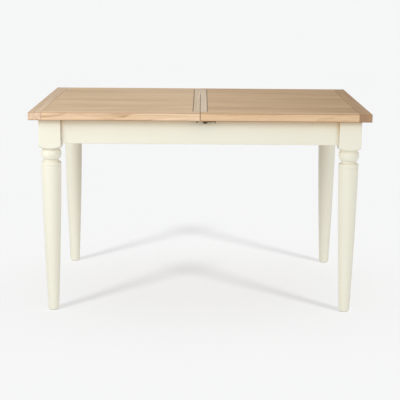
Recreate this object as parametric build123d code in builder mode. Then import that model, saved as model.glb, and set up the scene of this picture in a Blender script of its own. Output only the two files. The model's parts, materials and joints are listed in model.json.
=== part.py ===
"""Extending dining table: four turned legs, a painted frame, an oak top that is split across the
middle, and a loose leaf stored inside the frame.

Frame of the model: millimetres, +Z up, X along the table, the front is -Y. The origin is on the
floor, under the middle of the table. The top is closed and the two locks are open.
"""
from build123d import *
import os

# ---------------------------------------------------------------- driving dimensions
table_length = 1270
table_depth = 900
table_height = 772
top_thickness = 30
end_board_width = 48
rail_width = 45            # front and back border of each half of the top
strip_width = 26           # cross strip beside the split
split_gap = 1
leg_square = 82
end_overhang = 34          # top beyond the square of the leg, at the two ends
side_overhang = 27         # the same at the front and the back
apron_height = 90
apron_thickness = 22
apron_recess = 12          # apron behind the face of the leg
slide_gap = 1.5            # frame below the top
slide_travel = 210
leaf_width = 400

# ---------------------------------------------------------------- sizes worked out from them
half_length = table_length / 2
half_depth = table_depth / 2
half_gap = split_gap / 2
top_low = table_height - top_thickness
top_mid = table_height - top_thickness / 2
frame_high = top_low - slide_gap
leg_x = half_length - end_overhang - leg_square / 2
leg_y = half_depth - side_overhang - leg_square / 2
leg_in_x = leg_x - leg_square / 2
leg_in_y = leg_y - leg_square / 2
apron_low = frame_high - apron_height
long_apron_out = leg_y + leg_square / 2 - apron_recess
long_apron_in = long_apron_out - apron_thickness
end_apron_out = leg_x + leg_square / 2 - apron_recess
end_apron_in = end_apron_out - apron_thickness
long_apron_mid = long_apron_out - apron_thickness / 2
end_apron_mid = end_apron_out - apron_thickness / 2
panel_in = half_gap + strip_width
panel_out = half_length - end_board_width
rail_in_y = half_depth - rail_width

# ---------------------------------------------------------------- joinery and hardware sizes
tongue = 10                # length of a tongue
tongue_thickness = 8
groove_play = 0.2          # extra depth of a groove
edge_round = 2.5           # rounded edge round the top
underside_round = 1
seam_bevel = 0.8           # bevel where two boards of the top meet
strip_bevel = 2.2          # deeper bevel beside the cross strips
leg_corner_round = 2
bolt_flat = 12             # bevel on the leg's inner corner for the bolt
glide_radius = 17
glide_height = 4
glide_nail_radius = 1.5
glide_nail_length = 14
fit_play = 0.05            # radial play round pins, dowels and screws

dowel_radius = 4
dowel_length = 36
dowel_heights = (apron_low + 25, apron_low + 65)

block_low = apron_low + 1.5
block_high = block_low + 36
block_thickness = 22
bolt_radius = 4
bolt_height = (block_low + block_high) / 2
bolt_in_leg = 40
washer_thickness = 1.6
washer_radius = 9
nut_height = 8
nut_radius = 7
wing_span = 32
wing_thickness = 3

bearer_x = 260
bearer_width = 60
bearer_high = 690
bearer_thickness = 28
bracket_leg = 32
bracket_width = 30
bracket_thickness = 2
bracket_screw_z = bearer_high + 20
bracket_screw_y = long_apron_in - 22

guide_y = 320
guide_thickness = 24
guide_high = 740
groove_height = 12
groove_mid = 718
runner_width = 28
runner_low = 700
runner_gap = 0.5           # between runner and guide rail
runner_ends = (12, 355)
tongue_play = 0.3
runner_screw_x = (60, 185, 310)
runner_sink = 14

peg_radius = 5
peg_positions = (-300, 0, 300)
peg_out = 12
peg_in = 13
socket_play = 0.3

leaf_gap = 3               # felt between bearer and leaf
leaf_half_length = half_depth
leaf_half_width = leaf_width / 2
leaf_low = bearer_high + leaf_gap
leaf_high = leaf_low + top_thickness
leaf_mid = leaf_low + top_thickness / 2
leaf_rail_in = leaf_half_length - rail_width
stop_width = 15
stop_height = 15
stop_length = 30
pad_size = (40, 60)

lock_y = 430
lock_x = 19                # pivot of the lever
lock_reach = 30            # from the pivot to the keeper's post
plate_thickness = 1.6
plate_width = 22
post_radius = 3
pivot_head = (10, 4.5, 5.8)     # radius below the lever, radius at its foot, height
keeper_head = (4.2, 3.6, 1.2)
lever_thickness = 3.6
lever_gap = 0.2
lever_low = top_low - plate_thickness - lever_gap - lever_thickness
lever_width = 10
lever_end_radius = 7.5
notch_play = 0.3
thumb_tab = (36, 39)       # from the pivot, along the lever
thumb_tab_low = 734
lock_plate_ends = (5, 53)
keeper_plate_ends = (4, 33)
lock_plate_screws_x = (36, 46)
keeper_screws_x = (21, 28)

# screws, each with the sizes of its head and shank
block_screw = dict(head_radius=4, head_height=3, shank_radius=2, shank_length=26)
bracket_screw = dict(head_radius=3.5, head_height=1.8, shank_radius=1.75, shank_length=14)
guide_screw = dict(head_radius=4, head_height=3, shank_radius=2, shank_length=42)
runner_screw = dict(head_radius=4, head_height=3, shank_radius=2, shank_length=44)
plate_screw = dict(head_radius=2.6, head_height=1.2, shank_radius=1.5, shank_length=10)
recess_width = 0.9
recess_depth = 1

SIDES = {"left": -1, "right": 1}
DEPTHS = {"front": -1, "back": 1}
CORNERS = [(depth, side) for depth in DEPTHS for side in SIDES]

os.makedirs("parts", exist_ok=True)


# ---------------------------------------------------------------- small helpers
def save(piece, name):
    """Labels a finished piece and writes it as its own node."""
    piece.part.label = name
    export_step(piece.part, f"parts/{name}.step")


def sided(low, high, sign):
    """The range from low to high, mirrored to the negative side when sign is -1."""
    return tuple(sorted((sign * low, sign * high)))


def span_box(x, y, z, mode=Mode.ADD):
    """Adds or cuts a box that spans three ranges, each given as (low, high)."""
    with Locations((sum(x) / 2, sum(y) / 2, sum(z) / 2)):
        Box(x[1] - x[0], y[1] - y[0], z[1] - z[0], mode=mode)


def rod(start, direction, radius, length, mode=Mode.ADD):
    """Adds or cuts a round bar that starts at a point and runs along a direction."""
    with Locations(Plane(origin=start, z_dir=direction)):
        Cylinder(radius, length, align=(Align.CENTER, Align.CENTER, Align.MIN), mode=mode)


def cross_recess(head_top, direction, head_radius):
    """Cuts the cross for the driver into a screw's head."""
    with Locations(Plane(origin=head_top, z_dir=direction)):
        for size in ((head_radius, recess_width), (recess_width, head_radius)):
            Box(*size, recess_depth, align=(Align.CENTER, Align.CENTER, Align.MIN), mode=Mode.SUBTRACT)


def screw(head_top, direction, head_radius, head_height, shank_radius, shank_length):
    """Adds a flat-headed, cross-recessed screw that is driven along a direction."""
    rod(head_top, direction, head_radius, head_height)
    under_head = Vector(*head_top) + Vector(*direction).normalized() * head_height
    rod(under_head, direction, shank_radius, shank_length)
    cross_recess(head_top, direction, head_radius)


def edges_at(piece, axis, x=None, y=None, z=None):
    """The straight edges along an axis whose middle lies at the given coordinates."""
    found = piece.edges().filter_by(axis)
    for letter, value in (("X", x), ("Y", y), ("Z", z)):
        if value is not None:
            found = found.filter_by(
                lambda e, k=letter, v=value: abs(getattr(e.center(), k) - v) < 0.01
            )
    return found


# ---------------------------------------------------------------- legs
def leg_profile(half_diagonal):
    """Half outline of the turned leg, from the foot up to the top of its square."""
    foot_low = glide_height
    shoulder_high = 650
    with BuildLine() as outline:
        Polyline((0, foot_low), (18.5, foot_low), (20.5, foot_low + 2))
        ThreePointArc((20.5, foot_low + 2), (31.4, 300), (37.5, 558))     # long taper
        ThreePointArc((37.5, 558), (37.2, 560.2), (36.2, 561.5))
        Line((36.2, 561.5), (36.2, 563))
        ThreePointArc((36.2, 563), (38, 570), (36, 577.5))                # collar
        Line((36, 577.5), (33, 579))
        ThreePointArc((33, 579), (28.8, 585), (33, 590.5))                # neck
        ThreePointArc((33, 590.5), (38.8, 608.5), (33, 626))              # bead
        ThreePointArc((33, 626), (33, 629), (36, 630.5))                  # cove
        ThreePointArc((36, 630.5), (48, 636.5), (half_diagonal, shoulder_high))
        Polyline((half_diagonal, shoulder_high), (half_diagonal, frame_high), (0, frame_high))
        Line((0, frame_high), (0, foot_low))
    return outline


def make_leg(x_sign, y_sign):
    """One leg: turned round, then cut to a square at the top, where the aprons meet it."""
    axis_x, axis_y = x_sign * leg_x, y_sign * leg_y
    profile_plane = Plane(origin=(axis_x, axis_y, 0), x_dir=(1, 0, 0), z_dir=(0, -1, 0))
    with BuildPart() as leg:
        with BuildSketch(profile_plane):
            add(leg_profile(leg_square * 0.78).line)
            make_face()
        revolve(axis=Axis((axis_x, axis_y, 0), (0, 0, 1)))
        with BuildSketch(Plane.XY) as square:
            with Locations((axis_x, axis_y)):
                Rectangle(leg_square, leg_square)
            corners = square.vertices().sort_by(lambda v: abs(v.X) + abs(v.Y))
            chamfer(corners[0], bolt_flat)
            other_corners = square.vertices().sort_by(lambda v: abs(v.X) + abs(v.Y))[2:]
            fillet(other_corners, leg_corner_round)
        extrude(amount=frame_high, mode=Mode.INTERSECT)
        for height in dowel_heights:
            start_x = (x_sign * (leg_in_x - 1), y_sign * long_apron_mid, height)
            rod(start_x, (x_sign, 0, 0), dowel_radius + fit_play, dowel_length / 2 + 1.5, Mode.SUBTRACT)
            start_y = (x_sign * end_apron_mid, y_sign * (leg_in_y - 1), height)
            rod(start_y, (0, y_sign, 0), dowel_radius + fit_play, dowel_length / 2 + 1.5, Mode.SUBTRACT)
        rod(
            (x_sign * leg_in_x, y_sign * leg_in_y, bolt_height),
            (x_sign, y_sign, 0),
            bolt_radius + fit_play,
            bolt_in_leg + bolt_flat,
            Mode.SUBTRACT,
        )
        nail_hole = glide_height + glide_nail_length + 1
        rod((axis_x, axis_y, 0), (0, 0, 1), glide_nail_radius + fit_play, nail_hole, Mode.SUBTRACT)
    return leg


def make_glide(x_sign, y_sign):
    """Nail-on glide under a leg."""
    with BuildPart() as glide:
        rod((x_sign * leg_x, y_sign * leg_y, 0), (0, 0, 1), glide_radius, glide_height)
        fillet(glide.edges().group_by(Axis.Z)[0], 1)
        rod((x_sign * leg_x, y_sign * leg_y, glide_height), (0, 0, 1), glide_nail_radius, glide_nail_length)
    return glide


for depth, side in CORNERS:
    save(make_leg(SIDES[side], DEPTHS[depth]), f"leg_{depth}_{side}")
    save(make_glide(SIDES[side], DEPTHS[depth]), f"foot_glide_{depth}_{side}")


# ---------------------------------------------------------------- aprons and their dowels
def block_screw_points(x_sign, y_sign):
    """Where the two screws of a corner block start, and which way they go."""
    inner_sum = bolt_face_sum() - block_thickness * 2**0.5
    along_long = leg_in_x - 50
    along_end = leg_in_y - 50
    head_y = inner_sum - along_long + 0.2
    head_x = inner_sum - along_end + 0.2
    return [
        ((x_sign * along_long, y_sign * head_y, bolt_height), (0, y_sign, 0)),
        ((x_sign * head_x, y_sign * along_end, bolt_height), (x_sign, 0, 0)),
    ]


def bolt_face_sum():
    """The bolt's face on a leg lies where |x| + |y| has this value."""
    return leg_in_x + leg_in_y + bolt_flat


def drill_for_block_screws(x_sign, y_sign):
    """Cuts the holes of one corner block's screws."""
    for start, direction in block_screw_points(x_sign, y_sign):
        rod(start, direction, block_screw["shank_radius"] + fit_play, 30, Mode.SUBTRACT)


def make_long_apron(y_sign):
    """Front or back apron, between the legs."""
    with BuildPart() as apron:
        across = sided(long_apron_in, long_apron_out, y_sign)
        span_box((-leg_in_x, leg_in_x), across, (apron_low, frame_high))
        chamfer(edges_at(apron, Axis.X, y=y_sign * long_apron_out, z=apron_low), 1.5)
        for x_sign in (-1, 1):
            for height in dowel_heights:
                start = (x_sign * leg_in_x, y_sign * long_apron_mid, height)
                rod(start, (-x_sign, 0, 0), dowel_radius + fit_play, dowel_length / 2 + 0.5, Mode.SUBTRACT)
            drill_for_block_screws(x_sign, y_sign)
            start = (x_sign * bearer_x, y_sign * long_apron_in, bracket_screw_z)
            rod(start, (0, y_sign, 0), bracket_screw["shank_radius"] + fit_play, 14, Mode.SUBTRACT)
    return apron


def make_end_apron(x_sign):
    """Left or right apron, between the legs."""
    with BuildPart() as apron:
        across = sided(end_apron_in, end_apron_out, x_sign)
        span_box(across, (-leg_in_y, leg_in_y), (apron_low, frame_high))
        chamfer(edges_at(apron, Axis.Y, x=x_sign * end_apron_out, z=apron_low), 1.5)
        for y_sign in (-1, 1):
            for height in dowel_heights:
                start = (x_sign * end_apron_mid, y_sign * leg_in_y, height)
                rod(start, (0, -y_sign, 0), dowel_radius + fit_play, dowel_length / 2 + 0.5, Mode.SUBTRACT)
            drill_for_block_screws(x_sign, y_sign)
    return apron


for depth, y_sign in DEPTHS.items():
    save(make_long_apron(y_sign), f"apron_{depth}")
for side, x_sign in SIDES.items():
    save(make_end_apron(x_sign), f"apron_{side}")

dowel_start_x = leg_in_x - dowel_length / 2
dowel_start_y = leg_in_y - dowel_length / 2
with BuildPart() as apron_dowels:
    for x_sign in (-1, 1):
        for y_sign in (-1, 1):
            for height in dowel_heights:
                in_long = (x_sign * dowel_start_x, y_sign * long_apron_mid, height)
                rod(in_long, (x_sign, 0, 0), dowel_radius, dowel_length)
                in_end = (x_sign * end_apron_mid, y_sign * dowel_start_y, height)
                rod(in_end, (0, y_sign, 0), dowel_radius, dowel_length)
save(apron_dowels, "apron_dowels")


# ---------------------------------------------------------------- corner blocks and leg bolts
def make_corner_block(x_sign, y_sign):
    """Diagonal block that pulls a leg into the corner of the frame."""
    outer_sum = bolt_face_sum()
    inner_sum = outer_sum - block_thickness * 2**0.5
    corners = [
        (outer_sum - long_apron_in, long_apron_in),
        (inner_sum - long_apron_in, long_apron_in),
        (end_apron_in, inner_sum - end_apron_in),
        (end_apron_in, outer_sum - end_apron_in),
    ]
    with BuildPart() as block:
        with BuildSketch(Plane.XY.offset(block_low)):
            with BuildLine():
                Polyline([(x_sign * x, y_sign * y) for x, y in corners], close=True)
            make_face()
        extrude(amount=block_high - block_low)
        start = (x_sign * (leg_in_x - 30), y_sign * (leg_in_y - 30), bolt_height)
        rod(start, (x_sign, y_sign, 0), bolt_radius + 0.25, 80, Mode.SUBTRACT)
        drill_for_block_screws(x_sign, y_sign)
        recess = block_screw["head_height"] + 12
        for head_top, direction in block_screw_points(x_sign, y_sign):
            outside = Vector(*head_top) - Vector(*direction) * 12
            rod(outside, direction, block_screw["head_radius"] + 0.2, recess, Mode.SUBTRACT)
    return block


for depth, side in CORNERS:
    save(make_corner_block(SIDES[side], DEPTHS[depth]), f"corner_block_{depth}_{side}")


def inward(x_sign, y_sign, distance):
    """A point on a leg bolt's axis, this far from the leg's bolt face towards the middle."""
    step = distance / 2**0.5
    middle = bolt_flat / 2
    return (x_sign * (leg_in_x + middle - step), y_sign * (leg_in_y + middle - step), bolt_height)


nut_start = block_thickness + washer_thickness
with BuildPart() as leg_bolts:
    for x_sign in (-1, 1):
        for y_sign in (-1, 1):
            start = inward(x_sign, y_sign, -bolt_in_leg)
            rod(start, (-x_sign, -y_sign, 0), bolt_radius, bolt_in_leg + nut_start + nut_height + 5)
    chamfer(leg_bolts.edges().filter_by(GeomType.CIRCLE), 1)
save(leg_bolts, "leg_bolts")

with BuildPart() as leg_washers:
    for x_sign in (-1, 1):
        for y_sign in (-1, 1):
            start = inward(x_sign, y_sign, block_thickness)
            rod(start, (-x_sign, -y_sign, 0), washer_radius, washer_thickness)
            rod(start, (-x_sign, -y_sign, 0), bolt_radius + 0.3, washer_thickness, Mode.SUBTRACT)
save(leg_washers, "leg_washers")


def add_wing_nut(x_sign, y_sign):
    """A wing nut on a leg bolt: a round hub with two upright wings."""
    start = inward(x_sign, y_sign, nut_start)
    out = (-x_sign, -y_sign, 0)
    nut_plane = Plane(origin=start, x_dir=(0, 0, 1), z_dir=out)
    with Locations(nut_plane):
        Cone(nut_radius, nut_radius - 1.5, nut_height, align=(Align.CENTER, Align.CENTER, Align.MIN))
    wing_plane = Plane(origin=start, x_dir=(0, 0, 1), z_dir=Vector(*out).cross(Vector(0, 0, 1)))
    rise = 1 if wing_plane.to_local_coords(Vector(*start) + Vector(*out)).Y > 0 else -1
    with BuildSketch(wing_plane.offset(-wing_thickness / 2)) as wings:
        for wing in (-1, 1):
            with Locations((wing * (wing_span / 2 - 5), rise * (nut_height + 1))):
                Ellipse(7, 5.5, rotation=35 * wing * rise)
            with Locations((wing * (nut_radius - 1.5), rise * nut_height / 2)):
                Rectangle(7, nut_height - 1)
    extrude(wings.sketch, amount=wing_thickness)
    rod(start, out, bolt_radius + fit_play, nut_height + 20, Mode.SUBTRACT)


with BuildPart() as wing_nuts:
    for x_sign in (-1, 1):
        for y_sign in (-1, 1):
            add_wing_nut(x_sign, y_sign)
save(wing_nuts, "wing_nuts")


# ---------------------------------------------------------------- bearers, guide rails and fixings
bearer_low = bearer_high - bearer_thickness


def bracket_screw_places(x_sign, y_sign):
    """Where the two screws of a bearer's bracket start, and which way they go."""
    head = bracket_screw["head_height"]
    face_y = long_apron_in - bracket_thickness - head
    top_z = bearer_high + bracket_thickness + head
    return [
        ((x_sign * bearer_x, y_sign * face_y, bracket_screw_z), (0, y_sign, 0)),
        ((x_sign * bearer_x, y_sign * bracket_screw_y, top_z), (0, 0, -1)),
    ]


for side, x_sign in SIDES.items():
    with BuildPart() as bearer:
        across = sided(bearer_x - bearer_width / 2, bearer_x + bearer_width / 2, x_sign)
        span_box(across, (-long_apron_in, long_apron_in), (bearer_low, bearer_high))
        chamfer(bearer.edges().filter_by(Axis.Y), 1.5)
        for y_sign in (-1, 1):
            start = (x_sign * bearer_x, y_sign * guide_y, bearer_low)
            head_hole = guide_screw["head_radius"] + 0.2
            rod(start, (0, 0, 1), head_hole, guide_screw["head_height"], Mode.SUBTRACT)
            shank_hole = guide_screw["shank_radius"] + fit_play
            rod(start, (0, 0, 1), shank_hole, bearer_thickness, Mode.SUBTRACT)
            start = (x_sign * bearer_x, y_sign * bracket_screw_y, bearer_high)
            rod(start, (0, 0, -1), bracket_screw["shank_radius"] + fit_play, 14, Mode.SUBTRACT)
    save(bearer, f"leaf_bearer_{side}")

for depth, y_sign in DEPTHS.items():
    inner_face = guide_y - guide_thickness / 2
    with BuildPart() as guide:
        outer_face = guide_y + guide_thickness / 2
        across = sided(inner_face, outer_face, y_sign)
        span_box((-end_apron_in, end_apron_in), across, (bearer_high, guide_high))
        chamfer(guide.edges().filter_by(Axis.X), 1)
        groove = sided(inner_face - 1, inner_face + tongue + groove_play, y_sign)
        groove_z = (groove_mid - groove_height / 2, groove_mid + groove_height / 2)
        span_box((-end_apron_in, end_apron_in), groove, groove_z, Mode.SUBTRACT)
        for x_sign in (-1, 1):
            start = (x_sign * bearer_x, y_sign * guide_y, bearer_high)
            rod(start, (0, 0, 1), guide_screw["shank_radius"] + fit_play, 18, Mode.SUBTRACT)
    save(guide, f"guide_rail_{depth}")

with BuildPart() as bearer_brackets:
    for x_sign in (-1, 1):
        for y_sign in (-1, 1):
            across = sided(bearer_x - bracket_width / 2, bearer_x + bracket_width / 2, x_sign)
            upright = sided(long_apron_in - bracket_thickness, long_apron_in, y_sign)
            flat = sided(long_apron_in - bracket_leg, long_apron_in, y_sign)
            span_box(across, upright, (bearer_high, bearer_high + bracket_leg))
            span_box(across, flat, (bearer_high, bearer_high + bracket_thickness))
            for start, direction in bracket_screw_places(x_sign, y_sign):
                rod(start, direction, bracket_screw["shank_radius"] + 0.2, 10, Mode.SUBTRACT)
save(bearer_brackets, "bearer_brackets")

with BuildPart() as bracket_screws:
    for x_sign in (-1, 1):
        for y_sign in (-1, 1):
            for start, direction in bracket_screw_places(x_sign, y_sign):
                screw(start, direction, **bracket_screw)
save(bracket_screws, "bracket_screws")

with BuildPart() as frame_screws:
    for x_sign in (-1, 1):
        for y_sign in (-1, 1):
            for start, direction in block_screw_points(x_sign, y_sign):
                screw(start, direction, **block_screw)
            screw((x_sign * bearer_x, y_sign * guide_y, bearer_low), (0, 0, 1), **guide_screw)
save(frame_screws, "frame_screws")

strip_low = frame_high
strip_high = top_low - 0.1
with BuildPart() as slide_strips:
    for sign in (-1, 1):
        end_strip = sided(end_apron_in + 6, end_apron_out - 6, sign)
        span_box(end_strip, (-leg_in_y + 40, leg_in_y - 40), (strip_low, strip_high))
        for x_sign in (-1, 1):
            long_strip = sided(long_apron_in + 6, long_apron_out - 6, sign)
            span_box(sided(60, leg_in_x - 30, x_sign), long_strip, (strip_low, strip_high))
save(slide_strips, "slide_strips")


# ---------------------------------------------------------------- the two halves of the top
tongue_z = (top_mid - tongue_thickness / 2, top_mid + tongue_thickness / 2)
tongue_span = half_depth - 20      # the grooves in the end boards stop short of their ends
runner_out = guide_y - guide_thickness / 2 - runner_gap
runner_in = runner_out - runner_width


def make_end_board(x_sign):
    """Board across the outer end of a half, with a stopped groove for the panel."""
    outer = x_sign * half_length
    with BuildPart() as board:
        span_box(sided(panel_out, half_length, x_sign), (-half_depth, half_depth), (top_low, table_height))
        fillet(edges_at(board, Axis.Z, x=outer), edge_round)
        outline = board.edges().filter_by(lambda e: abs(e.center().X - x_sign * panel_out) > 0.01)
        fillet(outline.group_by(Axis.Z)[-1], edge_round)
        outline = board.edges().filter_by(lambda e: abs(e.center().X - x_sign * panel_out) > 0.01)
        fillet(outline.group_by(Axis.Z)[0], underside_round)
        chamfer(edges_at(board, Axis.Y, x=x_sign * panel_out, z=table_height), seam_bevel)
        groove = sided(panel_out - 1, panel_out + tongue + groove_play, x_sign)
        span_box(groove, (-tongue_span, tongue_span), tongue_z, Mode.SUBTRACT)
    return board


def make_panel(x_sign):
    """Middle panel of a half, with a tongue on all four edges."""
    inner_x, outer_x = x_sign * panel_in, x_sign * panel_out
    with BuildPart() as panel:
        span_box(sided(panel_in, panel_out, x_sign), (-rail_in_y, rail_in_y), (top_low, table_height))
        chamfer(edges_at(panel, Axis.Y, x=inner_x, z=table_height), strip_bevel)
        chamfer(edges_at(panel, Axis.Y, x=outer_x, z=table_height), seam_bevel)
        chamfer(edges_at(panel, Axis.X, z=table_height), seam_bevel / 2)
        tongue_x = sided(panel_in - tongue, panel_out + tongue, x_sign)
        span_box(tongue_x, (-rail_in_y, rail_in_y), tongue_z)
        tongue_y = (-rail_in_y - tongue, rail_in_y + tongue)
        span_box(sided(panel_in, panel_out, x_sign), tongue_y, tongue_z)
        for y_sign in (-1, 1):
            for x in runner_screw_x:
                start = (x_sign * x, y_sign * (runner_in + runner_out) / 2, top_low)
                rod(start, (0, 0, 1), runner_screw["shank_radius"] + fit_play, 17, Mode.SUBTRACT)
    return panel


def make_rail(x_sign, y_sign):
    """Front or back border of a half, from the end board to the split."""
    outer_y = y_sign * half_depth
    with BuildPart() as rail:
        across = sided(rail_in_y, half_depth, y_sign)
        span_box(sided(half_gap, panel_out, x_sign), across, (top_low, table_height))
        fillet(edges_at(rail, Axis.X, y=outer_y, z=table_height), edge_round)
        fillet(edges_at(rail, Axis.X, y=outer_y, z=top_low), underside_round)
        chamfer(edges_at(rail, Axis.X, y=y_sign * rail_in_y, z=table_height), seam_bevel / 2)
        split_face = rail.faces().sort_by(Axis.X)[0 if x_sign > 0 else -1]
        split_edges = split_face.edges().filter_by(lambda e: abs(e.center().Y - y_sign * rail_in_y) > 0.01)
        chamfer(split_edges.filter_by(lambda e: e.center().Z > top_low + 0.01), seam_bevel)
        groove = sided(rail_in_y - 1, rail_in_y + tongue + groove_play, y_sign)
        groove_x = sided(panel_in - groove_play, panel_out + 1, x_sign)
        span_box(groove_x, groove, tongue_z, Mode.SUBTRACT)
        stub = sided(panel_out, panel_out + tongue, x_sign)
        span_box(stub, sided(rail_in_y + tongue + 1, tongue_span, y_sign), tongue_z)
        screws_x = lock_plate_screws_x if x_sign > 0 else keeper_screws_x
        for x in screws_x:
            start = (x_sign * x, y_sign * lock_y, top_low - 0.5)
            rod(start, (0, 0, 1), plate_screw["shank_radius"] + fit_play, 12.5, Mode.SUBTRACT)
    return rail


def make_strip(x_sign, peg_hole_radius, peg_hole_depth):
    """Cross strip beside the split, grooved for the panel and bored for the pegs."""
    with BuildPart() as strip:
        span_box(sided(half_gap, panel_in, x_sign), (-rail_in_y, rail_in_y), (top_low, table_height))
        chamfer(edges_at(strip, Axis.Y, x=x_sign * half_gap, z=table_height), seam_bevel)
        chamfer(edges_at(strip, Axis.Y, x=x_sign * panel_in, z=table_height), strip_bevel)
        groove = sided(panel_in - tongue - groove_play, panel_in + 1, x_sign)
        span_box(groove, (-rail_in_y, rail_in_y), tongue_z, Mode.SUBTRACT)
        for y in peg_positions:
            rod((0, y, top_mid), (x_sign, 0, 0), peg_hole_radius, half_gap + peg_hole_depth, Mode.SUBTRACT)
    return strip


def make_runner(x_sign, y_sign):
    """Hardwood runner under a half, with a tongue that slides in the guide rail's groove."""
    with BuildPart() as runner:
        along = sided(*runner_ends, x_sign)
        span_box(along, sided(runner_in, runner_out, y_sign), (runner_low, top_low))
        chamfer(edges_at(runner, Axis.X, z=runner_low), 1.5)
        tongue_y = sided(runner_out, runner_out + tongue, y_sign)
        half_tongue = groove_height / 2 - tongue_play
        span_box(along, tongue_y, (groove_mid - half_tongue, groove_mid + half_tongue))
        for x in runner_screw_x:
            start = (x_sign * x, y_sign * (runner_in + runner_out) / 2, runner_low)
            rod(start, (0, 0, 1), runner_screw["head_radius"] + 1, runner_sink, Mode.SUBTRACT)
            rod(start, (0, 0, 1), runner_screw["shank_radius"] + fit_play, 50, Mode.SUBTRACT)
    return runner


peg_hole = peg_radius + fit_play
socket_hole = peg_radius + socket_play

for side, x_sign in SIDES.items():
    save(make_end_board(x_sign), f"{side}_end_board")
    save(make_panel(x_sign), f"{side}_panel")
    for depth, y_sign in DEPTHS.items():
        save(make_rail(x_sign, y_sign), f"{side}_{depth}_rail")
        save(make_runner(x_sign, y_sign), f"{side}_{depth}_runner")
    with BuildPart() as runner_screws:
        for y_sign in (-1, 1):
            for x in runner_screw_x:
                head_low = runner_low + runner_sink - runner_screw["head_height"]
                start = (x_sign * x, y_sign * (runner_in + runner_out) / 2, head_low)
                screw(start, (0, 0, 1), **runner_screw)
    save(runner_screws, f"{side}_runner_screws")

save(make_strip(-1, socket_hole, peg_out + 1), "left_centre_strip")
save(make_strip(1, peg_hole, peg_in), "right_centre_strip")

with BuildPart() as alignment_pegs:
    for y in peg_positions:
        rod((half_gap + peg_in, y, top_mid), (-1, 0, 0), peg_radius, peg_in + split_gap + peg_out)
    chamfer(alignment_pegs.edges().filter_by(GeomType.CIRCLE).group_by(Axis.X)[0], 1.5)
save(alignment_pegs, "alignment_pegs")


# ---------------------------------------------------------------- locks under the front and back edge
plate_z = (top_low - plate_thickness, top_low)
post_low = lever_low - lever_gap


def add_plate(ends, x_sign, y_sign, post_x, post_head, screws_x):
    """A steel plate with a riveted, headed post and two countersunk holes."""
    across = (y_sign * lock_y - plate_width / 2, y_sign * lock_y + plate_width / 2)
    span_box(sided(*ends, x_sign), across, plate_z)
    for x in screws_x:
        start = (x_sign * x, y_sign * lock_y, plate_z[0])
        with Locations(Plane(origin=start, z_dir=(0, 0, 1))):
            Cone(
                plate_screw["head_radius"] + fit_play,
                plate_screw["shank_radius"] + fit_play,
                plate_screw["head_height"],
                align=(Align.CENTER, Align.CENTER, Align.MIN),
                mode=Mode.SUBTRACT,
            )
        rod(start, (0, 0, 1), plate_screw["shank_radius"] + fit_play, plate_thickness, Mode.SUBTRACT)
    rod((post_x, y_sign * lock_y, post_low), (0, 0, 1), post_radius, plate_z[0] - post_low)
    wide, narrow, height = post_head
    with Locations((post_x, y_sign * lock_y, post_low)):
        Cone(narrow, wide, height, align=(Align.CENTER, Align.CENTER, Align.MAX))


def add_plate_screw(x, y):
    """A countersunk screw, its head flush with the plate's lower face."""
    with Locations((x, y, plate_z[0])):
        Cone(
            plate_screw["head_radius"],
            plate_screw["shank_radius"],
            plate_screw["head_height"],
            align=(Align.CENTER, Align.CENTER, Align.MIN),
        )
    under_head = (x, y, plate_z[0] + plate_screw["head_height"])
    rod(under_head, (0, 0, 1), plate_screw["shank_radius"], plate_screw["shank_length"])
    cross_recess((x, y, plate_z[0]), (0, 0, 1), plate_screw["head_radius"])


def make_lever(y_sign):
    """Lock lever at rest, pointing away from the split. Its notch opens to the outside."""
    pivot = (lock_x, y_sign * lock_y)
    hook = (lock_x + lock_reach, y_sign * lock_y)
    with BuildPart() as lever:
        with BuildSketch(Plane.XY.offset(lever_low)):
            with Locations(pivot):
                Circle(lever_width * 0.7)
            with Locations(((pivot[0] + hook[0]) / 2, hook[1])):
                Rectangle(lock_reach, lever_width)
            with Locations(hook):
                Circle(lever_end_radius)
        extrude(amount=lever_thickness)
        with BuildSketch(Plane.XY.offset(lever_low)):
            with Locations(pivot):
                Circle(lock_reach + post_radius + notch_play)
                Circle(lock_reach - post_radius - notch_play, mode=Mode.SUBTRACT)
            with Locations((hook[0], hook[1] + y_sign * 30)):
                Rectangle(80, 60, mode=Mode.INTERSECT)
            with Locations(hook):
                Circle(post_radius + notch_play)
            with Locations((pivot[0] - 50, pivot[1])):
                Rectangle(100, 100, mode=Mode.SUBTRACT)
        extrude(amount=lever_thickness, mode=Mode.SUBTRACT)
        tab_x = (lock_x + thumb_tab[0], lock_x + thumb_tab[1])
        tab_y = (y_sign * lock_y - lever_width * 0.6, y_sign * lock_y + lever_width * 0.6)
        span_box(tab_x, tab_y, (thumb_tab_low, lever_low + lever_thickness))
        fillet(edges_at(lever, Axis.X, z=thumb_tab_low), 2.5)
        rod((*pivot, lever_low - 1), (0, 0, 1), post_radius + fit_play, lever_thickness + 2, Mode.SUBTRACT)
    return lever


for depth, y_sign in DEPTHS.items():
    with BuildPart() as lock_plate:
        add_plate(lock_plate_ends, 1, y_sign, lock_x, pivot_head, lock_plate_screws_x)
    save(lock_plate, f"{depth}_lock_plate")
    with BuildPart() as keeper:
        add_plate(keeper_plate_ends, -1, y_sign, lock_x - lock_reach, keeper_head, keeper_screws_x)
    save(keeper, f"{depth}_lock_keeper")
    save(make_lever(y_sign), f"{depth}_lock_lever")

with BuildPart() as lock_plate_screws:
    for y_sign in (-1, 1):
        for x in lock_plate_screws_x:
            add_plate_screw(x, y_sign * lock_y)
save(lock_plate_screws, "lock_plate_screws")

with BuildPart() as keeper_screws:
    for y_sign in (-1, 1):
        for x in keeper_screws_x:
            add_plate_screw(-x, y_sign * lock_y)
save(keeper_screws, "lock_keeper_screws")


# ---------------------------------------------------------------- stored leaf, turned a quarter turn
leaf_z = (leaf_low, leaf_high)
leaf_tongue_z = (leaf_mid - tongue_thickness / 2, leaf_mid + tongue_thickness / 2)
leaf_y = (-leaf_half_width, leaf_half_width)

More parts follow.
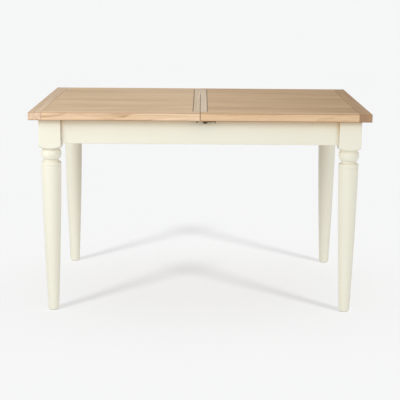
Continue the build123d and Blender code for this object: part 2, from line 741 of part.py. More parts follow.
with BuildPart() as leaf_panel:
    span_box((-leaf_rail_in, leaf_rail_in), leaf_y, leaf_z)
    chamfer(edges_at(leaf_panel, Axis.Y, z=leaf_high), seam_bevel / 2)
    chamfer(edges_at(leaf_panel, Axis.X, z=leaf_high), seam_bevel)
    tongue_x = (-leaf_rail_in - tongue, leaf_rail_in + tongue)
    span_box(tongue_x, (leaf_y[0] + 15, leaf_y[1] - 15), leaf_tongue_z)
    for x in peg_positions:
        rod((x, leaf_y[1] + 1, leaf_mid), (0, -1, 0), peg_hole, peg_in + 1, Mode.SUBTRACT)
        rod((x, leaf_y[0] - 1, leaf_mid), (0, 1, 0), socket_hole, peg_out + 2, Mode.SUBTRACT)
save(leaf_panel, "leaf_panel")

for depth, x_sign in DEPTHS.items():
    with BuildPart() as leaf_rail:
        outer_x = x_sign * leaf_half_length
        span_box(sided(leaf_rail_in, leaf_half_length, x_sign), leaf_y, leaf_z)
        fillet(edges_at(leaf_rail, Axis.Y, x=outer_x, z=leaf_high), edge_round)
        fillet(edges_at(leaf_rail, Axis.Y, x=outer_x, z=leaf_low), underside_round)
        chamfer(edges_at(leaf_rail, Axis.Y, x=x_sign * leaf_rail_in, z=leaf_high), seam_bevel / 2)
        groove = sided(leaf_rail_in - 1, leaf_rail_in + tongue + groove_play, x_sign)
        span_box(groove, (leaf_y[0] + 14, leaf_y[1] - 14), leaf_tongue_z, Mode.SUBTRACT)
    save(leaf_rail, f"leaf_{depth}_rail")

with BuildPart() as leaf_pegs:
    for x in peg_positions:
        rod((x, leaf_half_width - peg_in, leaf_mid), (0, 1, 0), peg_radius, peg_in + peg_out)
    chamfer(leaf_pegs.edges().filter_by(GeomType.CIRCLE).group_by(Axis.Y)[-1], 1.5)
save(leaf_pegs, "leaf_pegs")

with BuildPart() as leaf_rest_pads:
    for x_sign in (-1, 1):
        for y_sign in (-1, 1):
            pad_x = sided(bearer_x - pad_size[0] / 2, bearer_x + pad_size[0] / 2, x_sign)
            pad_y = sided(leaf_half_width - 20 - pad_size[1], leaf_half_width - 20, y_sign)
            span_box(pad_x, pad_y, (bearer_high, leaf_low))
save(leaf_rest_pads, "leaf_rest_pads")

with BuildPart() as leaf_stops:
    for x_sign in (-1, 1):
        for y_sign in (-1, 1):
            stop_x = sided(bearer_x - stop_length / 2, bearer_x + stop_length / 2, x_sign)
            stop_y = sided(leaf_half_width + 3, leaf_half_width + 3 + stop_width, y_sign)
            span_box(stop_x, stop_y, (bearer_high, bearer_high + stop_height))
    chamfer(leaf_stops.faces().filter_by(Axis.Z).group_by(Axis.Z)[-1].edges(), 2)
save(leaf_stops, "leaf_stops")
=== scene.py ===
import json
import math
import random

import bpy
from mathutils import Euler, Matrix, Vector


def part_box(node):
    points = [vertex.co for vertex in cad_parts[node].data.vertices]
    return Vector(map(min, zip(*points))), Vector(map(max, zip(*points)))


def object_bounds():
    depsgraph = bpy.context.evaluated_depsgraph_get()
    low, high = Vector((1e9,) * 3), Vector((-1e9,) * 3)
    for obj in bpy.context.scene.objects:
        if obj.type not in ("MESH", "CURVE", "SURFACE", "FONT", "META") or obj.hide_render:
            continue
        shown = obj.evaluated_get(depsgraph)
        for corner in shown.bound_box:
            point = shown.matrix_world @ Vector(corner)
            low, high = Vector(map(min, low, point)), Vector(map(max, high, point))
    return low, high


# An extending dining table, closed, on a pale studio floor. Metres, in the CAD part's frame.
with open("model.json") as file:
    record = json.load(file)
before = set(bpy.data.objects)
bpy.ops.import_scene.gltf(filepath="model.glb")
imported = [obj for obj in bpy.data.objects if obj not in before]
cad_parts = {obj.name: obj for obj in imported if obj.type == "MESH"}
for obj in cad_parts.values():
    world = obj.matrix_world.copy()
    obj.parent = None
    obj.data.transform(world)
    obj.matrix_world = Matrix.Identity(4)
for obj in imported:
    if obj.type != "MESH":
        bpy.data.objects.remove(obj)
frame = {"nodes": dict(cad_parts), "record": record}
cad_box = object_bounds()

NODES = frame["nodes"]
TOP_HIGH = cad_box[1][2]
TOP_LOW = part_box("left_panel")[0][2]
END_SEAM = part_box("right_end_board")[0][0]
FRAME_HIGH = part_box("leg_front_left")[1][2]
SLOT_OF = {row["node"]: row["material_slot"] for row in frame["record"]["subparts"]}
MASK_SAMPLES = 6             # rays of each edge and crevice mask


# ---------------------------------------------------------------- shader building blocks
class Tree:
    """A material's node tree, with short calls for the nodes used below."""

    def __init__(self, name):
        self.material = bpy.data.materials.new(name)
        self.material.use_nodes = True
        self.nodes = self.material.node_tree.nodes
        self.links = self.material.node_tree.links
        self.nodes.clear()
        self.output = self.nodes.new("ShaderNodeOutputMaterial")
        self.shader = self.nodes.new("ShaderNodeBsdfPrincipled")
        self.links.new(self.shader.outputs["BSDF"], self.output.inputs["Surface"])

    def put(self, socket, value):
        """Links a node's output to a socket, or sets the socket's own value."""
        if isinstance(value, bpy.types.NodeSocket):
            self.links.new(value, socket)
        else:
            socket.default_value = value

    def node(self, kind, inputs=None, **settings):
        made = self.nodes.new(kind)
        for key, value in settings.items():
            setattr(made, key, value)
        for key, value in (inputs or {}).items():
            self.put(made.inputs[key], value)
        return made

    def math(self, operation, a, b=0.0):
        return self.node("ShaderNodeMath", {0: a, 1: b}, operation=operation).outputs[0]

    def add(self, a, b):
        return self.math("ADD", a, b)

    def sub(self, a, b):
        return self.math("SUBTRACT", a, b)

    def mul(self, a, b):
        return self.math("MULTIPLY", a, b)

    def point(self):
        """The object's own coordinates, which are the row frame's, in metres."""
        return self.node("ShaderNodeTexCoord").outputs["Object"]

    def split(self, vector):
        made = self.node("ShaderNodeSeparateXYZ", {0: vector})
        return made.outputs[0], made.outputs[1], made.outputs[2]

    def join(self, x, y, z):
        return self.node("ShaderNodeCombineXYZ", {0: x, 1: y, 2: z}).outputs[0]

    def stretch(self, vector, scale, shift=(0.0, 0.0, 0.0)):
        made = self.node("ShaderNodeMapping", {"Vector": vector, "Location": shift, "Scale": scale})
        return made.outputs[0]

    def noise(self, vector, scale, detail, roughness, distortion=0.0):
        inputs = {"Vector": vector, "Scale": scale, "Detail": detail}
        inputs.update({"Roughness": roughness, "Distortion": distortion})
        return self.node("ShaderNodeTexNoise", inputs).outputs[0]

    def spread(self, value, low, high, out_low=0.0, out_high=1.0, smooth=False):
        """Maps low..high to out_low..out_high, clamped."""
        inputs = {"Value": value, "From Min": low, "From Max": high}
        inputs.update({"To Min": out_low, "To Max": out_high})
        kind = "SMOOTHSTEP" if smooth else "LINEAR"
        return self.node("ShaderNodeMapRange", inputs, interpolation_type=kind).outputs[0]

    def ramp(self, value, stops):
        made = self.node("ShaderNodeValToRGB", {"Fac": value})
        elements = made.color_ramp.elements
        while len(elements) < len(stops):
            elements.new(0.5)
        for element, (position, colour) in zip(elements, stops):
            element.position = position
            element.color = (*colour, 1.0)
        return made.outputs[0]

    def mix(self, factor, a, b, blend="MIX"):
        made = self.node("ShaderNodeMix", data_type="RGBA", blend_type=blend, clamp_factor=True)
        self.put(made.inputs[0], factor)
        for socket, value in ((made.inputs[6], a), (made.inputs[7], b)):
            self.put(socket, value if isinstance(value, bpy.types.NodeSocket) else (*value, 1.0))
        return made.outputs[2]

    def grey(self, value):
        """A number as a colour, to multiply another colour by."""
        return self.join(value, value, value)

    def arris(self, width):
        """About 1 on outer edges, 0 on flats: how far a rounded normal leaves the face's own."""
        rounded = self.node("ShaderNodeBevel", {"Radius": width}, samples=MASK_SAMPLES).outputs[0]
        plain = self.node("ShaderNodeNewGeometry").outputs["Normal"]
        dot = self.node("ShaderNodeVectorMath", {0: rounded, 1: plain}, operation="DOT_PRODUCT")
        return self.spread(dot.outputs["Value"], 0.995, 0.85, smooth=True)

    def crevice(self, reach, open_at, closed_at):
        """0 on open faces, rising to 1 in grooves and tight corners."""
        seen = self.node("ShaderNodeAmbientOcclusion", {"Distance": reach}, samples=MASK_SAMPLES)
        return self.spread(seen.outputs["AO"], open_at, closed_at)

    def bump(self, height, distance, strength):
        inputs = {"Height": height, "Distance": distance, "Strength": strength}
        made = self.node("ShaderNodeBump", inputs)
        self.links.new(made.outputs[0], self.shader.inputs["Normal"])

    def finish(self, colour, roughness, **constants):
        self.put(self.shader.inputs["Base Color"], colour)
        self.put(self.shader.inputs["Roughness"], roughness)
        for key, value in constants.items():
            self.shader.inputs[key.replace("_", " ")].default_value = value
        return self.material


def grain_axes(tree, along):
    """Coordinates as (along the grain, across it, through the thickness)."""
    x, y, z = tree.split(tree.point())
    return {"X": (x, y, z), "Y": (y, x, z), "Z": (z, x, y)}[along]


def seeded_shift(seed):
    """Moves a piece's noise to a place of its own."""
    random.seed(seed)
    return [random.uniform(-20, 20) for _ in range(3)]


# ---------------------------------------------------------------- woods
OAK_TONES = [
    (0.27, (0.400, 0.250, 0.140)),
    (0.42, (0.615, 0.440, 0.285)),
    (0.58, (0.760, 0.580, 0.405)),
    (0.80, (0.850, 0.690, 0.520)),
]
OAK_PORE = (0.27, 0.165, 0.090)
OAK_FLECK = (0.86, 0.72, 0.55)
OAK_FAR_TINT = (0.62, 0.55, 0.40)
OAK_END_GRAIN = (0.30, 0.178, 0.105)
OAK_EDGE_HIGHLIGHT = (0.93, 0.85, 0.74)
OAK_DARK_RIM_AND_SHADE = (0.24, 0.125, 0.060)
OAK_MEETING = (0.16, 0.10, 0.06)
OAK_GROOVE_SHADE = (0.13, 0.085, 0.055)
RING_PITCH = 0.0042          # one year of growth
HEART_SPACING = 0.19         # from the heart behind one stave to the next

# each pair is where a mask starts and where it is full, as distances in metres
RIM_ABOVE = (0.0034, 0.0022)      # below the upper face of the top
SHADED_RIM_BELOW = (0.0030, 0.0020)      # above its lower face, where painted shade is laid
MEETING_EDGE = (0.0018, 0.0008)   # from the split
SOAKED = (0.036, 0.024)           # past the end board's seam
GROOVE_SHADE_FADE = (0.012, 0.006)      # before that seam, where the painted groove shade fades out

BEECH_TONES = [
    (0.30, (0.50, 0.315, 0.175)),
    (0.50, (0.62, 0.42, 0.255)),
    (0.72, (0.70, 0.50, 0.325)),
]


def oak(name, along, seed, tone=1.0, warmth=0.0, stave=0.0, end_stain=0.2, far_darkening=0.0,
        painted_edge_highlight=False):
    """Lacquered oak. stave is the width of the glued staves, or 0 for a single board; far_darkening is
    how much darker the board grows towards the end of the table."""
    tree = Tree(name)
    shift = seeded_shift(seed)
    u, v, w = grain_axes(tree, along)

    # each glued stave gets its own heart, tone and slight lean
    index = float(seed)
    if stave:
        index = tree.math("FLOOR", tree.add(tree.mul(v, 1.0 / stave), 40.37 + seed * 0.61))
    chance = tree.node(
        "ShaderNodeTexWhiteNoise", {"Vector": tree.join(index, float(seed), 0.5)}, noise_dimensions="3D"
    )
    r1, r2, r3 = tree.split(chance.outputs["Color"])

    # growth rings around a heart that lies off the face, wandering along the board
    wander_at = tree.join(
        tree.add(tree.mul(u, 0.9), tree.mul(r1, 31.0)),
        tree.add(tree.mul(v, 7.0), tree.mul(r2, 17.0)),
        tree.add(tree.mul(w, 7.0), shift[0]),
    )
    wander = tree.sub(tree.noise(wander_at, 1.0, 2.0, 0.5), 0.5)
    across = tree.add(v, tree.mul(tree.sub(r1, 0.5), 0.11))
    if stave:
        across = tree.math("MODULO", tree.add(across, 50.0), HEART_SPACING)
        across = tree.sub(across, HEART_SPACING / 2)
    depth = tree.add(w, tree.add(tree.mul(r2, 0.10), -0.86))
    across = tree.add(across, tree.mul(wander, 0.050))
    depth = tree.add(depth, tree.mul(wander, 0.055))
    radius = tree.math("SQRT", tree.add(tree.mul(across, across), tree.mul(depth, depth)))
    ring = tree.math("FRACT", tree.mul(radius, 1.0 / RING_PITCH))
    ring_line = tree.math("POWER", ring, 2.5)

    # broad colour drift, streaks and fine fibres, all stretched along the grain
    base_at = tree.join(u, tree.add(v, tree.mul(r3, 3.0)), w)
    drift = tree.noise(tree.stretch(base_at, (1.6, 11.0, 11.0), shift), 1.0, 2.0, 0.5)
    streak = tree.noise(tree.stretch(base_at, (3.2, 85.0, 85.0), shift), 1.0, 3.0, 0.6, 0.15)
    fibre = tree.noise(tree.stretch(base_at, (14.0, 620.0, 620.0), shift), 1.0, 3.0, 0.65)
    pores = tree.noise(tree.stretch(base_at, (30.0, 1150.0, 1150.0), shift[::-1]), 1.0, 2.0, 0.5)
    pores = tree.mul(tree.spread(pores, 0.60, 0.70), tree.spread(ring, 0.35, 0.95, 0.35, 1.0))
    fleck = tree.noise(tree.stretch(base_at, (34.0, 150.0, 420.0), shift), 1.0, 1.0, 0.5, 0.4)
    fleck = tree.spread(fleck, 0.66, 0.74)

    mixed = tree.add(tree.mul(drift, 0.34), tree.add(tree.mul(streak, 0.42), tree.mul(fibre, 0.24)))
    mixed = tree.sub(mixed, tree.mul(ring_line, 0.10))
    colour = tree.ramp(mixed, OAK_TONES)
    tone_of_stave = tree.spread(r3, 0.0, 1.0, tone * 0.93, tone * 1.06)
    warm = (1.0 + warmth, 1.0, 1.0 - 1.4 * warmth)
    colour = tree.mix(1.0, colour, tree.grey(tone_of_stave), "MULTIPLY")
    colour = tree.mix(1.0, colour, warm, "MULTIPLY")
    colour = tree.mix(tree.mul(pores, 0.50), colour, OAK_PORE)
    colour = tree.mix(tree.mul(fleck, 0.16), colour, OAK_FLECK)

    side, _, height = tree.split(tree.point())
    side = tree.math("ABSOLUTE", side)
    # darker towards the end of the table
    far = tree.spread(side, 0.03, END_SEAM, 0.0, far_darkening)
    colour = tree.mix(far, colour, OAK_FAR_TINT, "MULTIPLY")

    # open end grain drinks more finish and is darker, most of all beside the seam
    normal = tree.split(tree.node("ShaderNodeNewGeometry").outputs["Normal"])
    end = tree.spread(tree.math("ABSOLUTE", normal["XYZ".index(along)]), 0.75, 0.97, smooth=True)
    soaked = tree.spread(side, END_SEAM + SOAKED[0], END_SEAM + SOAKED[1], 0.55, 1.0, smooth=True)
    colour = tree.mix(tree.mul(end, tree.mul(soaked, end_stain)), colour, OAK_END_GRAIN)

    # dark rounded edges, upper rim and split joint; painted shade on the lower rim and in the grooves
    upright = tree.spread(tree.math("ABSOLUTE", normal[2]), 0.96, 0.80)
    rim_above = tree.spread(height, TOP_HIGH - RIM_ABOVE[0], TOP_HIGH - RIM_ABOVE[1])
    # painted shade along the lower rim, darkened as the underside edge in shade would be
    rim_below_shade = tree.spread(height, TOP_LOW + SHADED_RIM_BELOW[0], TOP_LOW + SHADED_RIM_BELOW[1], 0.0, 1.35)
    rim = tree.mul(upright, tree.math("MAXIMUM", rim_above, rim_below_shade))
    meeting = tree.spread(side, *MEETING_EDGE)
    uneven = tree.spread(streak, 0.30, 0.70, 1.0, 0.7)
    if painted_edge_highlight:
        # painted highlight: the strips' edges are made paler, as if their small chamfers caught the
        # light
        colour = tree.mix(tree.mul(tree.arris(0.003), 0.5), colour, OAK_EDGE_HIGHLIGHT)
    else:
        seam = tree.mul(tree.arris(0.0035), tree.spread(upright, 0.0, 1.0, 0.12, 0.55))
        # the rounded edges and upper rim are darkened, and the lower rim with painted shade
        dark_edges_and_shade = tree.math("MAXIMUM", seam, tree.mul(rim, 0.66))
        colour = tree.mix(tree.mul(dark_edges_and_shade, uneven), colour, OAK_DARK_RIM_AND_SHADE)
    colour = tree.mix(tree.mul(meeting, 0.60), colour, OAK_MEETING)
    # painted shade in the V-grooves from an occlusion mask, fading out before the end board's seam
    groove_shade_fade = tree.spread(side, END_SEAM - GROOVE_SHADE_FADE[0], END_SEAM - GROOVE_SHADE_FADE[1], 0.85, 0.22)
    colour = tree.mix(tree.mul(tree.crevice(0.006, 0.93, 0.55), groove_shade_fade), colour, OAK_GROOVE_SHADE)

    roughness = tree.add(0.40, tree.add(tree.mul(pores, 0.22), tree.mul(fibre, 0.14)))
    relief = tree.sub(tree.mul(fibre, 0.5), tree.add(pores, tree.mul(ring_line, 0.25)))
    tree.bump(relief, 0.00022, 0.55)
    lacquer = dict(Specular_IOR_Level=0.45, Coat_Weight=0.12, Coat_Roughness=0.32)
    return tree.finish(colour, roughness, **lacquer)


def beech(name, along, seed):
    """Bare planed beech, with its short dark flecks."""
    tree = Tree(name)
    shift = seeded_shift(seed)
    at = tree.join(*grain_axes(tree, along))
    drift = tree.noise(tree.stretch(at, (2.0, 16.0, 16.0), shift), 1.0, 2.0, 0.5)
    grain = tree.noise(tree.stretch(at, (7.0, 260.0, 260.0), shift), 1.0, 3.0, 0.6, 0.2)
    flecks = tree.noise(tree.stretch(at, (150.0, 900.0, 900.0), shift), 1.0, 1.0, 0.5)
    flecks = tree.spread(flecks, 0.64, 0.71)
    mixed = tree.add(tree.mul(drift, 0.55), tree.mul(grain, 0.45))
    colour = tree.ramp(mixed, BEECH_TONES)
    colour = tree.mix(tree.mul(flecks, 0.5), colour, (0.33, 0.18, 0.095))
    dirt = tree.noise(tree.stretch(at, (9.0, 9.0, 9.0), shift), 1.0, 3.0, 0.6)
    colour = tree.mix(tree.spread(dirt, 0.50, 0.80, 0.0, 0.18), colour, (0.40, 0.29, 0.19))
    colour = tree.mix(tree.mul(tree.arris(0.0015), 0.35), colour, (0.76, 0.58, 0.40))
    roughness = tree.add(0.52, tree.mul(grain, 0.22))
    tree.bump(tree.sub(grain, tree.mul(flecks, 0.4)), 0.00018, 0.5)
    return tree.finish(colour, roughness, Specular_IOR_Level=0.35)


CREAM = (0.775, 0.760, 0.655)
CREAM_DEEP = (0.735, 0.712, 0.590)
CREAM_WORN = (0.70, 0.655, 0.52)
# warm painted shade under the top
CREAM_UNDER_TOP_SHADE = (0.95, 0.77, 0.57)
# dust and painted shade in corners and seams
CORNER_DUST_AND_SHADE = (0.22, 0.165, 0.095)
FEET_BAND = (0.08, 0.20)     # heights over which the painted shade and dust fade out towards the feet
TOP_BAND = (0.06, 0.01)      # depths below the frame's upper edge over which the painted warm shade is strongest
FRAME_END = 0.5              # about where the frame ends, left and right


def painted(name, along, seed):
    """Warm cream eggshell paint on wood: brush lines, faint grain, painted shade under the top, dust and
    painted shade in corners.
    """
    tree = Tree(name)
    shift = seeded_shift(seed)
    at = tree.join(*grain_axes(tree, along))
    cloud = tree.noise(tree.stretch(at, (5.0, 9.0, 9.0), shift), 1.0, 3.0, 0.5)
    brush = tree.noise(tree.stretch(at, (7.0, 520.0, 520.0), shift), 1.0, 3.0, 0.6, 0.1)
    fibres = tree.noise(tree.stretch(at, (26.0, 1500.0, 1500.0), shift), 1.0, 2.0, 0.5)
    peel = tree.noise(tree.stretch(at, (700.0, 900.0, 900.0), shift), 1.0, 1.0, 0.5)
    tint = tree.add(tree.mul(cloud, 0.55), tree.mul(brush, 0.45))
    colour = tree.mix(tree.spread(tint, 0.30, 0.70, 0.55, 0.0), CREAM, CREAM_DEEP)
    edge = tree.mul(tree.arris(0.0018), tree.spread(brush, 0.40, 0.65, 0.10, 0.50))
    colour = tree.mix(edge, colour, CREAM_WORN)
    side, _, height = tree.split(tree.point())
    above_feet = tree.spread(height, *FEET_BAND)
    under_top = tree.spread(height, FRAME_HIGH - TOP_BAND[0], FRAME_HIGH - TOP_BAND[1], 0.35, 0.95)
    darker_right = tree.spread(side, -FRAME_END, FRAME_END, 0.80, 1.20)
    # painted warm shade under the overhanging top, from an occlusion mask, stronger to the right and
    # gone at the feet
    under_top_shade_weight = tree.mul(under_top, tree.mul(above_feet, darker_right))
    under_top_shade = tree.mul(tree.crevice(0.060, 0.85, 0.50), under_top_shade_weight)
    colour = tree.mix(under_top_shade, colour, CREAM_UNDER_TOP_SHADE, "MULTIPLY")
    # dust and painted shade in corners and seams, such as beside the leg blocks on the aprons; stronger
    # to the left, gone at the feet
    dust_and_shade_weight = tree.mul(tree.spread(side, -FRAME_END, FRAME_END, 0.95, 0.30), above_feet)
    dust_and_shade = tree.mul(tree.crevice(0.012, 0.64, 0.42), dust_and_shade_weight)
    colour = tree.mix(dust_and_shade, colour, CORNER_DUST_AND_SHADE)
    roughness = tree.add(0.40, tree.add(tree.mul(brush, 0.16), tree.mul(cloud, 0.08)))
    relief = tree.add(tree.mul(brush, 0.6), tree.add(tree.mul(fibres, 0.25), tree.mul(peel, 0.15)))
    tree.bump(relief, 0.00016, 0.45)
    return tree.finish(colour, roughness, Specular_IOR_Level=0.45)


# ---------------------------------------------------------------- metals, plastics, felt
ZINC_TONES = [
    (0.32, (0.47, 0.47, 0.46)),
    (0.55, (0.60, 0.60, 0.585)),
    (0.78, (0.68, 0.67, 0.63)),
]
BRONZE_TONES = [
    (0.30, (0.070, 0.046, 0.020)),
    (0.55, (0.125, 0.086, 0.036)),
    (0.78, (0.190, 0.135, 0.058)),
]
FELT_TONES = [
    (0.30, (0.060, 0.042, 0.028)),
    (0.52, (0.115, 0.083, 0.056)),
    (0.75, (0.180, 0.135, 0.094)),
]
NYLON = (0.62, 0.60, 0.53)
NYLON_SPECK = (0.70, 0.68, 0.61)
TAPE = (0.70, 0.68, 0.62)
TAPE_SPECK = (0.76, 0.75, 0.70)
SLIDING_SCUFFS = (6.0, 700.0, 700.0)   # noise scale of long scratches along X
LOOSE_SCUFFS = (220.0, 220.0, 220.0)


def steel(name, seed):
    """Zinc plated steel: faint crystal patches, fine scratches, duller in places."""
    tree = Tree(name)
    at = tree.stretch(tree.point(), (1.0, 1.0, 1.0), (seed * 1.7, seed * 0.9, 0.0))
    patches = tree.noise(at, 160.0, 2.0, 0.5, 0.6)
    scratch = tree.noise(tree.stretch(at, (60.0, 1400.0, 900.0)), 1.0, 2.0, 0.6)
    dull = tree.noise(at, 35.0, 3.0, 0.6)
    colour = tree.ramp(patches, ZINC_TONES)
    colour = tree.mix(tree.spread(dull, 0.55, 0.80, 0.0, 0.35), colour, (0.42, 0.40, 0.36))
    colour = tree.mix(tree.mul(tree.arris(0.0008), 0.5), colour, (0.80, 0.80, 0.79))
    roughness = tree.add(0.26, tree.add(tree.mul(dull, 0.22), tree.mul(scratch, 0.12)))
    tree.bump(scratch, 0.00006, 0.5)
    return tree.finish(colour, roughness, Metallic=1.0)


def bronze(name, seed):
    """Dark antique bronze, rubbed through to brass on its edges."""
    tree = Tree(name)
    at = tree.stretch(tree.point(), (1.0, 1.0, 1.0), (seed * 1.3, 0.0, seed * 0.7))
    cloud = tree.noise(at, 180.0, 3.0, 0.55)
    rub = tree.noise(at, 420.0, 2.0, 0.6)
    colour = tree.ramp(cloud, BRONZE_TONES)
    worn = tree.mul(tree.arris(0.0009), tree.spread(rub, 0.35, 0.65, 0.25, 1.0))
    colour = tree.mix(worn, colour, (0.46, 0.31, 0.15))
    roughness = tree.sub(tree.add(0.40, tree.mul(cloud, 0.20)), tree.mul(worn, 0.15))
    tree.bump(rub, 0.00008, 0.5)
    return tree.finish(colour, roughness, Metallic=0.85)


def plastic(name, base, speck, roughness_low, seed, scuffs):
    """Moulded plastic with a fine speckle, a soft flow pattern and scuffs."""
    tree = Tree(name)
    at = tree.stretch(tree.point(), (1.0, 1.0, 1.0), (seed * 0.37, seed * 0.11, 0.0))
    flow = tree.noise(at, 60.0, 2.0, 0.5, 0.8)
    grain = tree.noise(at, 1400.0, 1.0, 0.5)
    scuff = tree.spread(tree.noise(tree.stretch(at, scuffs), 1.0, 2.0, 0.6), 0.55, 0.75)
    colour = tree.mix(tree.spread(flow, 0.3, 0.7, 0.0, 0.5), base, speck)
    colour = tree.mix(tree.mul(scuff, 0.25), colour, (0.45, 0.42, 0.36))
    roughness = tree.add(roughness_low, tree.add(tree.mul(scuff, 0.2), tree.mul(grain, 0.12)))
    tree.bump(tree.add(grain, tree.mul(scuff, 0.6)), 0.00006, 0.6)
    return tree.finish(colour, roughness, Specular_IOR_Level=0.5)


def felt(name, seed):
    """Brown pressed felt: matted fibres, lint and a soft sheen."""
    tree = Tree(name)
    at = tree.stretch(tree.point(), (1.0, 1.0, 1.0), (seed * 0.53, 0.0, 0.0))
    mat = tree.noise(at, 900.0, 4.0, 0.7, 1.2)
    lint = tree.spread(tree.noise(at, 2200.0, 2.0, 0.6, 2.0), 0.62, 0.72)
    patch = tree.noise(at, 70.0, 2.0, 0.5)
    colour = tree.ramp(mat, FELT_TONES)
    colour = tree.mix(tree.mul(lint, 0.5), colour, (0.36, 0.31, 0.25))
    colour = tree.mix(tree.spread(patch, 0.4, 0.7, 0.0, 0.3), colour, (0.10, 0.068, 0.045))
    tree.bump(tree.add(mat, tree.mul(lint, 0.5)), 0.0005, 0.8)
    return tree.finish(colour, 0.95, Sheen_Weight=0.4, Sheen_Roughness=0.5, Specular_IOR_Level=0.15)


# ---------------------------------------------------------------- finish of every CAD node
ALONG_Y = ("end_board", "centre_strip", "leaf_panel", "leaf_front_rail", "leaf_back_rail",
           "leaf_bearer", "apron_left", "apron_right")


def grain_of(node):
    """The axis that a piece's grain runs along."""
    if node.startswith("leg_"):
        return "Z"
    return "Y" if any(word in node for word in ALONG_Y) else "X"


OAK_BOARDS = {
    "left_centre_strip": dict(tone=1.00, warmth=-0.07, painted_edge_highlight=True),
    "right_centre_strip": dict(tone=1.06, warmth=-0.10, painted_edge_highlight=True),
    "left_end_board": dict(tone=1.03, warmth=-0.01, end_stain=0.0),
    "right_end_board": dict(tone=0.54, warmth=0.17, end_stain=0.78),
    "left_panel": dict(tone=0.97, warmth=0.03, stave=0.105),
    "right_panel": dict(tone=0.86, warmth=0.08, stave=0.095, far_darkening=0.5),
    "leaf_panel": dict(tone=1.0, stave=0.100),
    "left_front_rail": dict(tone=1.07, warmth=0.02),
    "left_back_rail": dict(tone=0.97, warmth=0.03),
    "right_front_rail": dict(tone=0.79, warmth=0.09),
    "right_back_rail": dict(tone=0.78, warmth=0.11),
}


def material_for(node, seed):
    slot = SLOT_OF[node]
    if slot == "oak":
        return oak(f"oak_{node}", grain_of(node), seed, **OAK_BOARDS.get(node, {}))
    if slot == "painted_wood":
        return painted(f"paint_{node}", grain_of(node), seed)
    if slot == "beech":
        return beech(f"beech_{node}", grain_of(node), seed)
    if slot == "steel":
        return steel(f"zinc_{node}", seed)
    if slot == "dark_bronze":
        return bronze(f"bronze_{node}", seed)
    if slot == "nylon":
        return plastic(f"nylon_{node}", NYLON, NYLON_SPECK, 0.38, seed, LOOSE_SCUFFS)
    if slot == "slide_tape":
        return plastic(f"tape_{node}", TAPE, TAPE_SPECK, 0.22, seed, SLIDING_SCUFFS)
    return felt(f"felt_{node}", seed)


for number, name in enumerate(sorted(NODES)):
    obj = NODES[name]
    made = material_for(name, number + 1)
    obj.data.materials.clear()
    obj.data.materials.append(made)


# ---------------------------------------------------------------- studio
FLOOR_TONE = 0.30
FLOOR_MOTTLE = 0.005
FLOOR_SUN = 2.30
FLOOR_TOP_SUN = 0.7
FLOOR_GLOW = 0.450
FLOOR_TINT = (0.985, 1.0, 1.030)     # cools the glow as much as the room light is warm
FLOOR_HALF = 120.0
LIGHTS_AIM = (0.0, 0.0, 0.6)
SUN_DISTANCE = 5.0
LEG_WORDS = ("leg_front", "leg_back", "foot_glide")
TOP_WORDS = ("_panel", "_rail", "_board")
WORLD_LIGHT = 0.43
ROOM_TINT = (1.0, 0.972, 0.895)
BACKDROP = 0.92


def floor_material():
    """Seamless white studio paper with a glow of its own, so that only soft shadows show."""
    tree = Tree("studio_floor")
    tone = tree.noise(tree.point(), 0.8, 2.0, 0.5)
    colour = tree.mix(tone, (FLOOR_TONE - FLOOR_MOTTLE,) * 3, (FLOOR_TONE + FLOOR_MOTTLE,) * 3)
    tree.shader.inputs["Emission Color"].default_value = (*FLOOR_TINT, 1.0)
    tree.shader.inputs["Emission Strength"].default_value = FLOOR_GLOW
    tree.finish(colour, 0.95, Specular_IOR_Level=0.0)

    # the floor is one-sided, so that the underside of the table can be seen from below
    from_below = tree.node("ShaderNodeNewGeometry").outputs["Backfacing"]
    clear = tree.node("ShaderNodeBsdfTransparent").outputs[0]
    paper = tree.shader.outputs["BSDF"]
    one_sided = tree.node("ShaderNodeMixShader", {0: from_below, 1: paper, 2: clear})
    tree.put(tree.output.inputs["Surface"], one_sided.outputs[0])
    return tree.material


floor_mesh = bpy.data.meshes.new("studio_floor")
corners = [(x * FLOOR_HALF, y * FLOOR_HALF, 0.0) for x, y in ((-1, -1), (1, -1), (1, 1), (-1, 1))]
floor_mesh.from_pydata(corners, [], [(0, 1, 2, 3)])
floor = bpy.data.objects.new("studio_floor", floor_mesh)
bpy.context.scene.collection.objects.link(floor)
floor_mesh.materials.append(floor_material())


def studio_world():
    """A warm, even room light, with a plain pale backdrop behind the table."""
    world = bpy.data.worlds.new("studio")
    world.use_nodes = True
    nodes, links = world.node_tree.nodes, world.node_tree.links
    room = nodes["Background"]
    room.inputs["Color"].default_value = (*ROOM_TINT, 1.0)
    room.inputs["Strength"].default_value = WORLD_LIGHT
    backdrop = nodes.new("ShaderNodeBackground")
    backdrop.inputs["Color"].default_value = (1.0, 1.0, 1.0, 1.0)
    backdrop.inputs["Strength"].default_value = BACKDROP
    seen = nodes.new("ShaderNodeLightPath").outputs["Is Camera Ray"]
    both = nodes.new("ShaderNodeMixShader")
    for socket, value in zip(both.inputs, (seen, room.outputs[0], backdrop.outputs[0])):
        links.new(value, socket)
    links.new(both.outputs[0], nodes["World Output"].inputs["Surface"])
    return world


bpy.context.scene.world = studio_world()


def group(name, objects):
    """A collection for light linking only, not part of the scene tree."""
    made = bpy.data.collections.new(name)
    for member in objects:
        made.objects.link(member)
    return made


def legs_on(side):
    """The legs and foot glides of the left or the right side."""
    return [NODES[node] for node in NODES if node.startswith(LEG_WORDS) and node.endswith(side)]


table_pieces = group("lit_table", NODES.values())
top_boards = group("casters_top", [NODES[node] for node in NODES if node.endswith(TOP_WORDS)])
left_legs = group("casters_left", legs_on("left"))
right_legs = group("casters_right", legs_on("right"))
floor_only = group("lit_floor", [floor])


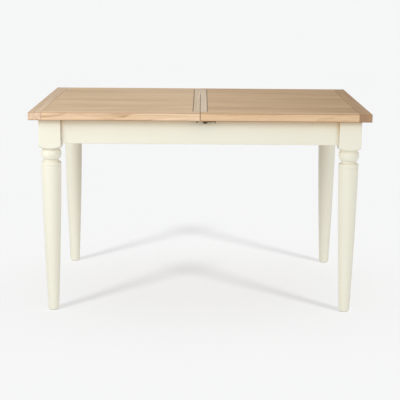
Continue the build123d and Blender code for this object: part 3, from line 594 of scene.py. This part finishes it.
def place_light(light, azimuth, elevation, distance, receivers, blockers=None):
    """Stands a light off from the table and faces it there. Azimuth 0 is the front, 90 the right."""
    obj = bpy.data.objects.new(light.name, light)
    a, e = math.radians(azimuth), math.radians(elevation)
    away = Vector((math.sin(a) * math.cos(e), -math.cos(a) * math.cos(e), math.sin(e)))
    obj.location = Vector(LIGHTS_AIM) + away * distance
    obj.rotation_mode = "QUATERNION"
    obj.rotation_quaternion = away.to_track_quat("Z", "Y")
    bpy.context.scene.collection.objects.link(obj)
    obj.light_linking.receiver_collection = receivers
    if blockers:
        obj.light_linking.blocker_collection = blockers


def soft_sun(name, azimuth, elevation, strength, spread, receivers, blockers=None):
    light = bpy.data.lights.new(name, "SUN")
    light.energy = strength
    light.angle = math.radians(spread)
    place_light(light, azimuth, elevation, SUN_DISTANCE, receivers, blockers)


def softbox(name, azimuth, elevation, distance, size, power, receivers):
    light = bpy.data.lights.new(name, "AREA")
    light.shape = "SQUARE"
    light.size = size
    light.energy = power
    place_light(light, azimuth, elevation, distance, receivers)


soft_sun("key_left", azimuth=-37, elevation=19, strength=0.645, spread=24, receivers=table_pieces)
soft_sun("fill_right", azimuth=43, elevation=22, strength=0.83, spread=24, receivers=table_pieces)
softbox("panel_left", azimuth=-55, elevation=26, distance=2.6, size=1.0, power=19,
        receivers=table_pieces)
softbox("overhead", azimuth=0, elevation=80, distance=2.7, size=1.6, power=20,
        receivers=table_pieces)

# the floor has its own lights: each leg pair throws a shadow from one side, and the top a soft one
soft_sun("floor_left", azimuth=-38, elevation=40, strength=FLOOR_SUN, spread=10,
         receivers=floor_only, blockers=left_legs)
soft_sun("floor_right", azimuth=43, elevation=40, strength=FLOOR_SUN, spread=10,
         receivers=floor_only, blockers=right_legs)
soft_sun("floor_top", azimuth=180, elevation=80, strength=FLOOR_TOP_SUN, spread=60,
         receivers=floor_only, blockers=top_boards)

# ---------------------------------------------------------------- camera
CAMERA_AT = (0.0057, -4.7082, 1.2987)
PITCH_DOWN = 11.313
YAW = 0.055
ROLL = 0.41
LENS = 104.69
SENSOR = 36.0
CLIP_END = 1000.0
camera = bpy.data.objects.new("camera", bpy.data.cameras.new("camera"))
camera.data.lens = LENS
camera.data.sensor_width = SENSOR
camera.data.clip_end = CLIP_END
camera.location = CAMERA_AT
level = Euler((math.radians(90 - PITCH_DOWN), 0, math.radians(YAW))).to_matrix()
aim = level @ Matrix.Rotation(math.radians(ROLL), 3, "Z")
camera.rotation_mode = "QUATERNION"
camera.rotation_quaternion = aim.to_quaternion()
bpy.context.scene.collection.objects.link(camera)
bpy.context.scene.camera = camera

view = bpy.context.scene.view_settings
view.view_transform = "Standard"
view.look = "None"
